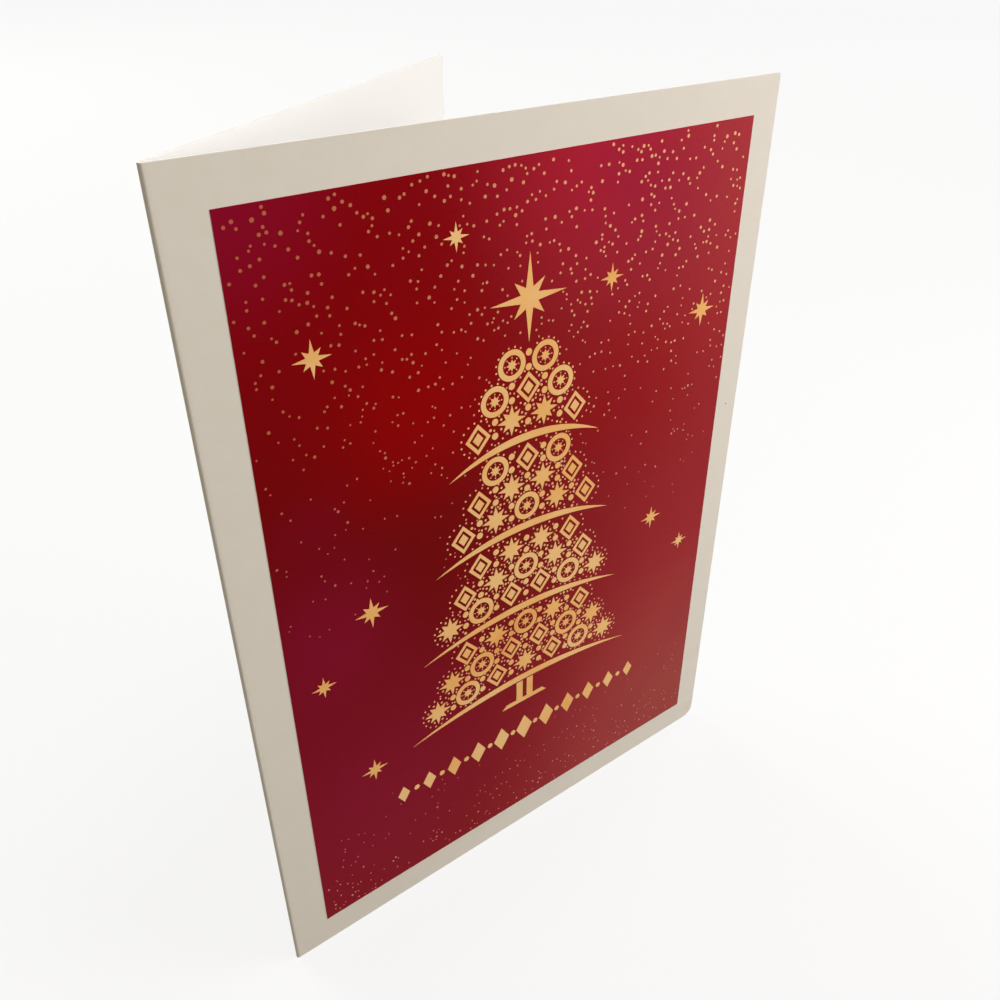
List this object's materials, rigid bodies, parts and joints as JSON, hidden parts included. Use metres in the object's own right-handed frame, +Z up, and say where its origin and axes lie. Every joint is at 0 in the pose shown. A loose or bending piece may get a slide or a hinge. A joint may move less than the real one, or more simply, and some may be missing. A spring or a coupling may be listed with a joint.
{
  "type": "greeting card",
  "caption": "Folded greeting card standing on its lower edges, with a crimson printed front and gold ornaments in a bare border.",
  "frame": {"origin": "middle of the standing card's footprint box, on the surface that it stands on", "axes": "+Z up along the fold, +X from the fold towards the free edge of the front leaf, -Y out of the printed front"},
  "size_m": [0.127, 0.0808, 0.1778],
  "materials": {
    "card_stock": "matt uncoated card, warm white",
    "crimson_ink": "glossy printed crimson",
    "gold_ink": "satin gold print"
  },
  "bodies": {
    "root": {"folded_card": "card_stock", "printed_field": "crimson_ink", "tree_motifs": "gold_ink", "tree_beads": "gold_ink", "tree_bands": "gold_ink", "tree_trunk": "gold_ink", "tree_star": "gold_ink", "ornament_row": "gold_ink", "loose_stars": "gold_ink", "snow": "gold_ink"}
  },
  "joints": []
}
